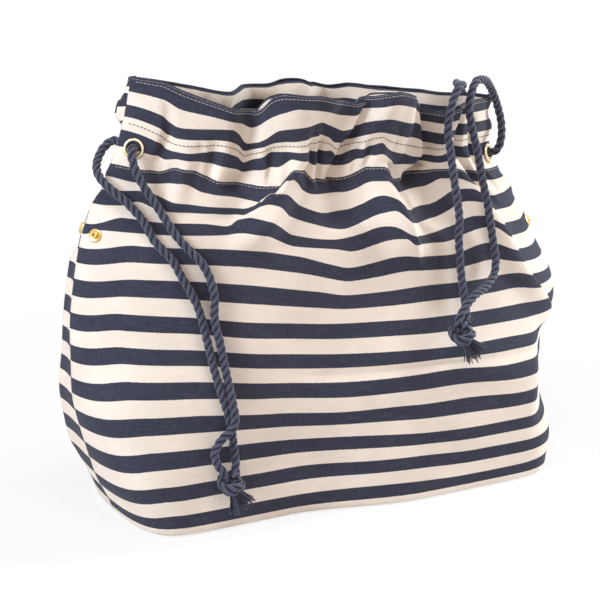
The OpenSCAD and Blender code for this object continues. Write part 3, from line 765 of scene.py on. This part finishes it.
def right_corner(u, z):
    """Share of the depth left at the front's lower right corner, which is drawn in to the seam."""
    return 1 - 0.34 * hump(z, 30, 70, 105, 145) * ramp(u, 0.74, 0.95)


SECTION_U = np.sin(np.linspace(-np.pi / 2, np.pi / 2, 361))
FINE_A = np.linspace(0, CUT_WIDE, 1201)
COLUMNS = np.linspace(0, CUT_WIDE, int(CUT_WIDE / COLUMN_STEP) + 1)
PANEL_ROWS = np.concatenate([
    np.arange(0, HEEL_V - 1, ROW_STEP),
    np.linspace(HEEL_V, BASE_V, 5),
    np.linspace(BASE_V + 4, CUT_LONG, 16),
])
# Folds, slack, puckers and the share of the crease
LOOKS = {
    "front": (FRONT_FOLDS, Swell(3, 0.45), Puckers(11), 0.45),
    "back": (BACK_FOLDS, Swell(17, 0.6), Puckers(29), 0.35),
}
OUTWARD = {"front": 1, "back": -1}


def folded_line(z, folds, length):
    """Where each point across the cloth comes to lie along a row, and how far it stands out."""
    span = length[-1]
    shown = []
    for fold in folds:
        place, left, right = fold.at_height(z)
        if abs(left) + abs(right) > 0.02:
            runs = fold.left * np.cos(left * WAVE).mean(), fold.right * np.cos(right * WAVE).mean()
            shown.append((float(np.interp(place, SECTION_U, length)), fold, left, right, runs))
    shown.sort(key=lambda item: item[0])
    taken = sum(f.left + f.right - sum(runs) for _, f, _, _, runs in shown)
    shrink = (CUT_WIDE - taken) / span
    slope = np.zeros_like(FINE_A)
    before = 0.0
    for crest, fold, left, right, runs in shown:
        at = crest * shrink + before + fold.left - runs[0]
        q = FINE_A - at
        slope += np.where((q > -fold.left) & (q <= 0), left * np.sin(-np.pi * q / fold.left), 0)
        slope -= np.where((q > 0) & (q < fold.right), right * np.sin(np.pi * q / fold.right), 0)
        before += fold.left + fold.right - sum(runs)
    step = FINE_A[1] - FINE_A[0]
    middle = (slope[1:] + slope[:-1]) / 2
    run = np.concatenate([[0], np.cumsum(np.cos(middle) * step)])
    off = np.concatenate([[0], np.cumsum(np.sin(middle) * step)])
    off -= off[-1] * np.arange(len(off)) / (len(off) - 1)
    return run / run[-1] * span, off


def lowest_near(values, reach):
    """The least value within a few places on either side."""
    padded = np.pad(values, reach, mode="edge")
    return np.min([padded[k:k + len(values)] for k in range(2 * reach + 1)], axis=0)


LEAN_IN = 26.0
LEAN_LONG = 62.0
BASE_LIFT = 0.15


def wall_row(v, face, sunk, reach):
    """One row of points of the standing cloth, as if it were the front's."""
    folds, swell, puckers, crease_share = LOOKS[face]
    z = float(through(v, HANG_V, HANG_Z))
    length = distance_along(front_wall(SECTION_U, z)[0])
    run, off = folded_line(z, folds, length)
    u = np.interp(np.interp(COLUMNS, FINE_A, run), length, SECTION_U)
    out = np.interp(COLUMNS, FINE_A, off)
    lifted = z + hang(face, u, v, z)
    points, crown = front_wall(u, np.maximum(lifted, HEEL_R))
    ahead, _ = front_wall(np.minimum(u + 0.01, 1), lifted)
    behind, _ = front_wall(np.maximum(u - 0.01, -1), lifted)
    tangent = ahead - behind
    normal = np.stack([tangent[:, 1], -tangent[:, 0], np.zeros(len(u))], axis=-1)
    normal /= np.linalg.norm(normal, axis=1)[:, None]
    guard = ramp(1 - np.abs(u), 0.08, 0.22) * float(1 - ramp(v, 335, HEEL_V))
    out = out + guard * (swell.at(COLUMNS, v) + puckers.at(COLUMNS, v) + crease(u, v, crease_share))
    out = out + main_relief(u, lifted) * crown * np.abs(normal[:, 1])
    if reach:
        out = lowest_near(out, reach)
    points = points + normal * (out - sunk)[:, None]
    points[:, 0] += side_fullness(face, u, lifted)
    if face == "front":
        points[:, 1] *= right_corner(u, lifted)
    else:
        points[:, 1] += LEAN_IN * leaning(u) * (1 - float(ramp(v, 0, LEAN_LONG)))
    return points


def base_row(v):
    """One row of points of the heel and the boxed bottom, as if it were the front's."""
    turn = min((v - HEEL_V) / HEEL_R, math.pi / 2)
    z = HEEL_R * (1 - math.sin(turn))
    inset = HEEL_R * (1 - math.cos(turn))
    length = distance_along(front_wall(SECTION_U, z, inset)[0])
    u = np.interp(COLUMNS / CUT_WIDE * length[-1], length, SECTION_U)
    points, _ = front_wall(u, z, inset)
    share = max(0.0, (v - BASE_V) / (CUT_LONG - BASE_V))
    points[:, 1] = points[:, 1] * (1 - share) - SIDE_GAP * share
    points[:, 2] = np.maximum(points[:, 2], 0) + BASE_LIFT
    return points


def cloth_row(v, face, sunk=0.0, reach=0):
    """One row of points of the front or back cloth. A sunk row lies inside all of the cloth near it."""
    points = wall_row(v, face, sunk, reach) if v <= HEEL_V else base_row(v)
    if face == "back":
        points[:, 1] *= -1
    return points


def grid_normals(grid, face):
    """Outward directions at the points of a panel's grid."""
    across = np.gradient(grid, axis=1)
    down = np.gradient(grid, axis=0)
    normal = np.cross(down, across) * OUTWARD[face]
    return normal / np.maximum(np.linalg.norm(normal, axis=2), 1e-9)[..., None]


def grid_faces(m, n, flip):
    """Faces of a grid of m rows and n columns."""
    faces = []
    for r in range(m - 1):
        for c in range(n - 1):
            k = r * n + c
            face = (k, k + n, k + n + 1, k + 1)
            faces.append(face[::-1] if flip else face)
    return faces


LIP_R = 1.3
LIP_STEPS = 5
SEAM_TURN = 3.2


def turned_lip(grid, normal):
    """Rows that roll the mouth's edge over to the inside, from the inner edge up to the top row."""
    up = grid[0] - grid[2]
    up /= np.linalg.norm(up, axis=1)[:, None]
    rows = []
    for k in range(LIP_STEPS, 0, -1):
        turn = math.pi * k / LIP_STEPS
        rows.append(grid[0] + LIP_R * math.sin(turn) * up - LIP_R * (1 - math.cos(turn)) * normal[0])
    return np.array(rows)


def turned_seams(grid, normal):
    """Columns that turn the side edges into the bag, for the seam's groove."""
    left = grid[:, :1] - SEAM_TURN * normal[:, 1:2]
    right = grid[:, -1:] - SEAM_TURN * normal[:, -2:-1]
    for side in (left, right):
        side[..., 1] *= 0.3
    return np.concatenate([left, grid, right], axis=1)


def thicken(piece):
    """The canvas's thickness, to the inside."""
    thick = piece.modifiers.new("thickness", "SOLIDIFY")
    thick.thickness = CANVAS * MM
    thick.offset = -1
    apply_modifiers(piece)


def panel(face, shift):
    """A whole cloth panel with its rolled mouth edge and turned seams."""
    grid = np.array([cloth_row(v, face) for v in PANEL_ROWS])
    normal = grid_normals(grid, face)
    lip = turned_lip(grid, normal)
    lip_v = math.pi * LIP_R * np.arange(LIP_STEPS, 0, -1) / LIP_STEPS
    whole = np.concatenate([lip, grid])
    whole = turned_seams(whole, np.concatenate([np.repeat(normal[:1], LIP_STEPS, axis=0), normal]))
    rows = np.concatenate([lip_v, PANEL_ROWS]) + shift
    columns = np.concatenate([[-SEAM_TURN], COLUMNS, [CUT_WIDE + SEAM_TURN]])
    m, n = whole.shape[:2]
    piece = mesh_piece(face + "_canvas", whole.reshape(-1, 3), grid_faces(m, n, face == "back"))
    set_uv(piece, np.stack(np.meshgrid(columns * MM, rows * MM), axis=-1).reshape(-1, 2))
    thicken(piece)
    return piece


FACING_IN = 2.6
FACING_LONG = LOWER_STITCH + 8
FACING_ROWS = np.arange(0, FACING_LONG + 0.1, 2.0)
CHANNEL_BULGE = 10.0
FACING_STRIPE = 10.7
FACING_INSET = 2
FACING_REACH = {"front": 5, "back": 2}


def channel_swell(v):
    """1 in the middle of the channel, falling to 0 at both rows of stitches."""
    within = np.clip((v - UPPER_STITCH) / (LOWER_STITCH - UPPER_STITCH), 0, 1)
    return float(np.sin(np.pi * within) ** 0.5)


def facing(face):
    """The turned inner layer that makes the channel for the cords."""
    grid = []
    for v in FACING_ROWS:
        sunk = FACING_IN + CHANNEL_BULGE * channel_swell(v)
        grid.append(cloth_row(v, face, sunk, FACING_REACH[face]))
    inner = np.array(grid)[:, FACING_INSET:-FACING_INSET]
    m, n = inner.shape[:2]
    piece = mesh_piece(face + "_turned_facing", inner.reshape(-1, 3), grid_faces(m, n, face != "back"))
    columns = COLUMNS[FACING_INSET:-FACING_INSET]
    uv = np.meshgrid(columns * MM, (FACING_ROWS + FACING_STRIPE) * MM)
    set_uv(piece, np.stack(uv, axis=-1).reshape(-1, 2))
    thicken(piece)
    return piece


BACK_SHIFT = 4.4
panels = {"front": panel("front", 0.0), "back": panel("back", BACK_SHIFT)}
facings = {face: facing(face) for face in LOOKS}

# Cords inside the channel, between the panel and its facing. A run starts near its own side's seam and
# ends further in, where the bend takes over

RUN_ROWS = {"left": 51.0, "right": 71.0}
RUN_COLUMNS = {"left": slice(9, -14, 6), "right": slice(14, -9, 6)}
BEND_COLUMNS = {"left": [-13, -9, -5], "right": [12, 8, 4]}
RUN_IN = CANVAS + CORD_D / 2 + 0.6
RUN_REACH = 5


def run_rope(face, side):
    row = cloth_row(RUN_ROWS[side], face, RUN_IN, RUN_REACH)
    return rope(side + "_cord_" + face + "_run_rope", smooth_route(row[RUN_COLUMNS[side]]))


runs = {(face, side): run_rope(face, side) for face in LOOKS for side in RUN_ROWS}


def bend_rope(side):
    """The cord's turn round the far seam, from one panel's channel to the other's."""
    at = cloth_row(RUN_ROWS[side], "front", RUN_IN, RUN_REACH)[BEND_COLUMNS[side]]
    tip = at[2] * np.array([1, 0, 1])
    back = at[::-1] * np.array([1, -1, 1])
    return rope(side + "_cord_bend_rope", smooth_route(np.vstack([at, tip[None], back])))


bends = {side: bend_rope(side) for side in RUN_ROWS}

# Stitches

STITCH_PITCH = 3.1
STITCH_LONG = 2.3
STITCH_R = 0.34
STITCH_RISE = np.array([-0.3, 0.16, 0.26, 0.16, -0.3])
STITCH_FROM_SEAM = 5.0


def stitch_rows(face):
    """The rows of stitches on a panel. UV across says whether a row is sewn on a cream stripe, where the
    thread gets painted shade of its needle holes.
    """
    parts = []
    for v in (EDGE_STITCH, UPPER_STITCH, LOWER_STITCH):
        grid = np.array([cloth_row(w, face) for w in (v - 1, v, v + 1)])
        normal = grid_normals(grid, face)[1]
        line = grid[1]
        length = distance_along(line)
        for start in np.arange(STITCH_FROM_SEAM, length[-1] - STITCH_FROM_SEAM, STITCH_PITCH):
            at = start + STITCH_LONG * np.linspace(0, 1, len(STITCH_RISE))
            path = at_distances(at, length, line)
            out = at_distances(at, length, normal)
            thread = tube(path + out * STITCH_RISE[:, None], STITCH_R, 5)
            # 1 on a cream stripe: the thread there is darkened as painted needle-hole shade
            thread[2][:, 0] = v % STRIPE_PAIR > STRIPE_PAIR / 2
            parts.append(thread)
    return joined_piece(face + "_stitching", parts)


stitching = {face: stitch_rows(face) for face in LOOKS}

# Materials


class Nodes:
    """Short ways to add, set and link the nodes of one node tree."""

    def __init__(self, tree):
        self.tree = tree

    def new(self, kind):
        return self.tree.nodes.new("ShaderNode" + kind)

    def feed(self, socket, value):
        """Set a socket to a number or a colour, or link it to another node's output."""
        if isinstance(value, (int, float)):
            socket.default_value = value
        elif isinstance(value, tuple):
            socket.default_value = (*value, 1)
        else:
            self.tree.links.new(value, socket)

    def math(self, operation, first, second=None):
        node = self.new("Math")
        node.operation = operation
        self.feed(node.inputs[0], first)
        if second is not None:
            self.feed(node.inputs[1], second)
        return node.outputs[0]

    def wave(self, value, pitch):
        return self.math("SINE", self.math("MULTIPLY", value, 2 * math.pi / pitch))

    def colour(self, share, first, second):
        """A mix of two colours."""
        node = self.new("Mix")
        node.data_type = "RGBA"
        self.feed(node.inputs[0], share)
        self.feed(node.inputs[6], first)
        self.feed(node.inputs[7], second)
        return node.outputs[2]

    def shaders(self, share, first, second):
        """A mix of two shader nodes."""
        node = self.new("MixShader")
        self.feed(node.inputs[0], share)
        self.feed(node.inputs[1], first.outputs[0])
        self.feed(node.inputs[2], second.outputs[0])
        return node.outputs[0]

    def soft_step(self, value, low, high, to_low=0.0, to_high=1.0):
        node = self.new("MapRange")
        node.interpolation_type = "SMOOTHSTEP"
        self.feed(node.inputs["Value"], value)
        self.feed(node.inputs["From Min"], low)
        self.feed(node.inputs["From Max"], high)
        self.feed(node.inputs["To Min"], to_low)
        self.feed(node.inputs["To Max"], to_high)
        return node.outputs[0]

    def noise(self, vector, scale, stretch=(1, 1, 1), detail=3.0):
        mapping = self.new("Mapping")
        mapping.inputs["Scale"].default_value = stretch
        self.feed(mapping.inputs["Vector"], vector)
        node = self.new("TexNoise")
        self.feed(node.inputs["Scale"], scale)
        self.feed(node.inputs["Detail"], detail)
        self.feed(node.inputs["Vector"], mapping.outputs[0])
        return node.outputs["Fac"]

    def place(self):
        """Object coordinates."""
        return self.new("TexCoord").outputs["Object"]

    def own_map(self):
        """A piece's own UV map, and its two values."""
        uv = self.new("UVMap").outputs[0]
        split = self.new("SeparateXYZ")
        self.feed(split.inputs[0], uv)
        return uv, split.outputs[0], split.outputs[1]

    def directly_seen(self):
        """1 where the camera sees this, also in a reflection."""
        rays = self.new("LightPath").outputs
        seen = self.math("MAXIMUM", rays["Is Camera Ray"], rays["Is Glossy Ray"])
        return self.math("MAXIMUM", seen, rays["Is Transmission Ray"])


class Finish(Nodes):
    """A new material with its main shader."""

    def __init__(self, name):
        self.material = bpy.data.materials.new(name)
        self.material.use_nodes = True
        super().__init__(self.material.node_tree)
        self.shader = self.tree.nodes["Principled BSDF"]

    def give(self, socket, value):
        self.feed(self.shader.inputs[socket], value)

    def bump(self, height, strength, distance):
        node = self.new("Bump")
        self.feed(node.inputs["Strength"], strength)
        self.feed(node.inputs["Distance"], distance)
        self.feed(node.inputs["Height"], height)
        self.give("Normal", node.outputs[0])


NAVY = (0.040, 0.043, 0.068)
NAVY_PALE = (0.088, 0.094, 0.138)
CREAM = (0.90, 0.81, 0.727)
CREAM_SLUB = (0.80, 0.69, 0.59)
THREAD_PITCH = 0.0006


def striped_canvas():
    finish = Finish("striped_canvas")
    uv, across, down = finish.own_map()
    # Stripes with a slightly ragged edge: navy in the first half of each pair
    ragged = finish.noise(uv, 900, (1, 0.4, 1), 2.0)
    shake = finish.math("MULTIPLY", finish.math("SUBTRACT", ragged, 0.5), 0.0007)
    pairs = finish.math("MULTIPLY", finish.math("ADD", down, shake), 1 / (STRIPE_PAIR * MM))
    part = finish.math("FRACT", finish.math("ADD", pairs, 4.0))
    away = finish.math("ABSOLUTE", finish.math("SUBTRACT", part, 0.25))
    navy_share = finish.soft_step(away, 0.243, 0.257, 1.0, 0.0)
    # Slubs of the yarn, drawn along the weft, and paler crossings of the warp
    slubs = finish.noise(uv, 420, (0.16, 1.6, 1), 4.0)
    warp = finish.noise(uv, 520, (2.0, 0.3, 1))
    cloud = finish.noise(uv, 22, detail=4.0)
    navy_pale = finish.soft_step(finish.math("MULTIPLY", slubs, warp), 0.16, 0.42, 0.0, 0.4)
    navy_dyed = finish.colour(navy_pale, NAVY, NAVY_PALE)
    cream_dark = finish.soft_step(slubs, 0.56, 0.3, 0.0, 0.32)
    cream_spun = finish.colour(cream_dark, CREAM, CREAM_SLUB)
    tinted = finish.new("HueSaturation")
    finish.feed(tinted.inputs["Value"], finish.soft_step(cloud, 0.3, 0.75, 0.93, 1.05))
    finish.feed(tinted.inputs["Color"], finish.colour(navy_share, cream_spun, navy_dyed))
    finish.give("Base Color", tinted.outputs[0])
    weave = finish.math("MULTIPLY", finish.wave(down, THREAD_PITCH), finish.wave(across, THREAD_PITCH))
    finish.bump(finish.math("ADD", finish.math("MULTIPLY", weave, 0.35), slubs), 0.32, 0.0004)
    finish.give("Roughness", finish.soft_step(slubs, 0.2, 0.8, 0.78, 0.95))
    finish.give("Specular IOR Level", 0.12)
    finish.give("Sheen Weight", 0.08)
    finish.give("Sheen Roughness", 0.5)
    return finish.material


# Painted shade in the grooves between strands, and the paler crown of each strand
ROPE_PAINTED_GROOVE_SHADE = (0.004, 0.005, 0.012)
ROPE_PALE = (0.105, 0.114, 0.18)
YARN_PITCH = 0.0016


def navy_rope():
    finish = Finish("navy_rope")
    _, outside, along = finish.own_map()
    fibres = finish.noise(finish.place(), 900)
    tone = finish.math("ADD", finish.math("MULTIPLY", finish.wave(along, YARN_PITCH), 0.08), fibres)
    # Painted shade: the grooves, where UV across is low, take the dark groove colour
    crown = finish.soft_step(outside, 0.76, 1.0)
    clear_of_groove_shade = finish.math("MULTIPLY", crown, finish.soft_step(tone, 0.25, 0.8, 0.45, 1.0))
    finish.give("Base Color", finish.colour(clear_of_groove_shade, ROPE_PAINTED_GROOVE_SHADE, ROPE_PALE))
    finish.bump(tone, 0.55, 0.0006)
    finish.give("Roughness", finish.soft_step(fibres, 0.2, 0.8, 0.62, 0.85))
    finish.give("Sheen Weight", 0.3)
    finish.give("Sheen Roughness", 0.45)
    finish.give("Specular IOR Level", 0.25)
    return finish.material


def brass(name, tint, rough):
    finish = Finish(name)
    rub = finish.noise(finish.place(), 260, detail=4.0)
    dulled = tuple(0.82 * c for c in tint)
    finish.give("Base Color", finish.colour(finish.soft_step(rub, 0.35, 0.7), tint, dulled))
    finish.give("Roughness", finish.soft_step(rub, 0.3, 0.75, rough, rough + 0.14))
    finish.give("Metallic", 1.0)
    finish.bump(rub, 0.08, 0.0002)
    return finish.material


# One thread in two tones: the dark tone on the cream rows is painted shade of the needle-hole dimples
THREAD_ON_NAVY = (0.42, 0.39, 0.36)
THREAD_ON_CREAM_PAINTED_SHADE = (0.075, 0.06, 0.055)
THREAD_FUZZ = (0.2, 0.18, 0.17)


def sewing_thread():
    finish = Finish("sewing_thread")
    fibres = finish.noise(finish.place(), 1500, detail=2.0)
    _, on_cream_painted_shade, _ = finish.own_map()
    # Painted shade: the thread is darker on the cream rows
    shade = finish.colour(on_cream_painted_shade, THREAD_ON_NAVY, THREAD_ON_CREAM_PAINTED_SHADE)
    fuzz = finish.soft_step(fibres, 0.3, 0.7, 0.0, 0.3)
    finish.give("Base Color", finish.colour(fuzz, shade, THREAD_FUZZ))
    finish.give("Roughness", finish.soft_step(fibres, 0.3, 0.7, 0.6, 0.8))
    return finish.material


canvas_finish = striped_canvas()
rope_finish = navy_rope()
eyelet_finish = brass("eyelet_brass", (0.93, 0.80, 0.55), 0.22)
snap_finish = brass("snap_brass", (0.86, 0.62, 0.24), 0.2)
thread_finish = sewing_thread()


def paint(piece, finish):
    piece.data.materials.clear()
    piece.data.materials.append(finish)


# Bodies and replaced nodes


def lip_blend(piece, face):
    """Bakes the piece's place into its mesh."""
    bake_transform(piece)


for face in LOOKS:
    paint(panels[face], canvas_finish)
    lip_blend(panels[face], face)
    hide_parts(face + "_panel")
    paint(facings[face], canvas_finish)
    lip_blend(facings[face], face)
    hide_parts(face + "_facing")
    paint(stitching[face], thread_finish)
    lip_blend(stitching[face], face)

for name, (_, seat, side) in STRANDS.items():
    piece = strands[name]
    paint(piece, rope_finish)
    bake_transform(piece)
    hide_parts(name)
    float(distance_along(strand_paths[name])[-1]) * MM
for side in KNOTS:
    for piece, node in ((knots[side], side + "_knot"), (tassels[side], side + "_tassel")):
        paint(piece, rope_finish)
        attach(piece, side + "_pull")
        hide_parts(node)

for (face, side), piece in runs.items():
    paint(piece, rope_finish)
    lip_blend(piece, face)
    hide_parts(side + "_cord_" + face + "_run")
for side, piece in bends.items():
    paint(piece, rope_finish)
    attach(piece, "bag")
    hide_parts(side + "_cord_bend")

for node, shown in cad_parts.items():
    if "eyelet" in node or "washer" in node:
        paint(shown, eyelet_finish)
    elif "snap" in node or "cap" in node:
        paint(shown, snap_finish)

# Floor, backdrop and light

FLOOR_WIDE = 8.0
FLOOR_BELOW = 0.0004


def studio_floor():
    deselect_all()
    bpy.ops.mesh.primitive_plane_add(size=FLOOR_WIDE, location=(0, 0, 0))
    floor = bpy.context.object
    floor.name = "studio_floor"
    for vertex in floor.data.vertices:
        vertex.co.z -= FLOOR_BELOW
    finish = Finish("white_floor")
    finish.tree.nodes.remove(finish.shader)
    white = finish.new("Emission")
    finish.feed(white.inputs["Strength"], 1.0)
    diffuse = finish.new("BsdfDiffuse")
    finish.feed(diffuse.inputs["Color"], (0.9, 0.9, 0.9))
    # Shadows show near the bag, and the floor runs out to plain white
    away = finish.new("VectorMath")
    away.operation = "LENGTH"
    finish.feed(away.inputs[0], finish.place())
    plain = finish.soft_step(away.outputs["Value"], 0.26, 0.62, 0.8, 1.0)
    both = finish.shaders(finish.math("MULTIPLY", finish.directly_seen(), plain), diffuse, white)
    finish.feed(finish.tree.nodes["Material Output"].inputs[0], both)
    floor.data.materials.append(finish.material)


def soft_lamp(name, at, aim, size, watts, colour=(1, 1, 1)):
    data = bpy.data.lights.new(name, "AREA")
    data.shape = "RECTANGLE"
    data.size, data.size_y = size
    data.energy = watts
    data.color = colour
    lamp = bpy.data.objects.new(name, data)
    lamp.location = at
    lamp.rotation_euler = (Vector(aim) - Vector(at)).to_track_quat("-Z", "Y").to_euler()
    bpy.context.scene.collection.objects.link(lamp)


def white_surround():
    """A warm dim light from all sides, which the camera sees as plain white."""
    world = bpy.data.worlds.new("studio_white")
    bpy.context.scene.world = world
    world.use_nodes = True
    nodes = Nodes(world.node_tree)
    shade = world.node_tree.nodes["Background"]
    nodes.feed(shade.inputs["Color"], (1, 0.68, 0.47))
    nodes.feed(shade.inputs["Strength"], 0.264)
    white = nodes.new("Background")
    nodes.feed(white.inputs["Color"], (1, 1, 1))
    nodes.feed(white.inputs["Strength"], 1.0)
    both = nodes.shaders(nodes.directly_seen(), shade, white)
    nodes.feed(world.node_tree.nodes["World Output"].inputs[0], both)


COOL = (0.88, 0.96, 1.0)
COOLER = (0.81, 0.91, 1.0)
WARM = (1, 0.75, 0.6)

studio_floor()
white_surround()
soft_lamp("left_lamp", (-1.6, -0.35, 1.15), (0, 0, 0.2), (0.6, 0.9), 26.5, COOLER)
soft_lamp("right_lamp", (1.45, -0.25, 0.9), (0, 0, 0.2), (0.6, 1.0), 26, COOL)
soft_lamp("top_lamp", (-0.25, -0.5, 1.95), (0, 0, 0.2), (0.7, 0.7), 10)
soft_lamp("mouth_lamp", (-0.1, -0.75, 0.75), (0, 0, 0.3), (0.5, 0.3), 0.6, WARM)

bpy.context.scene.view_settings.view_transform = "Standard"
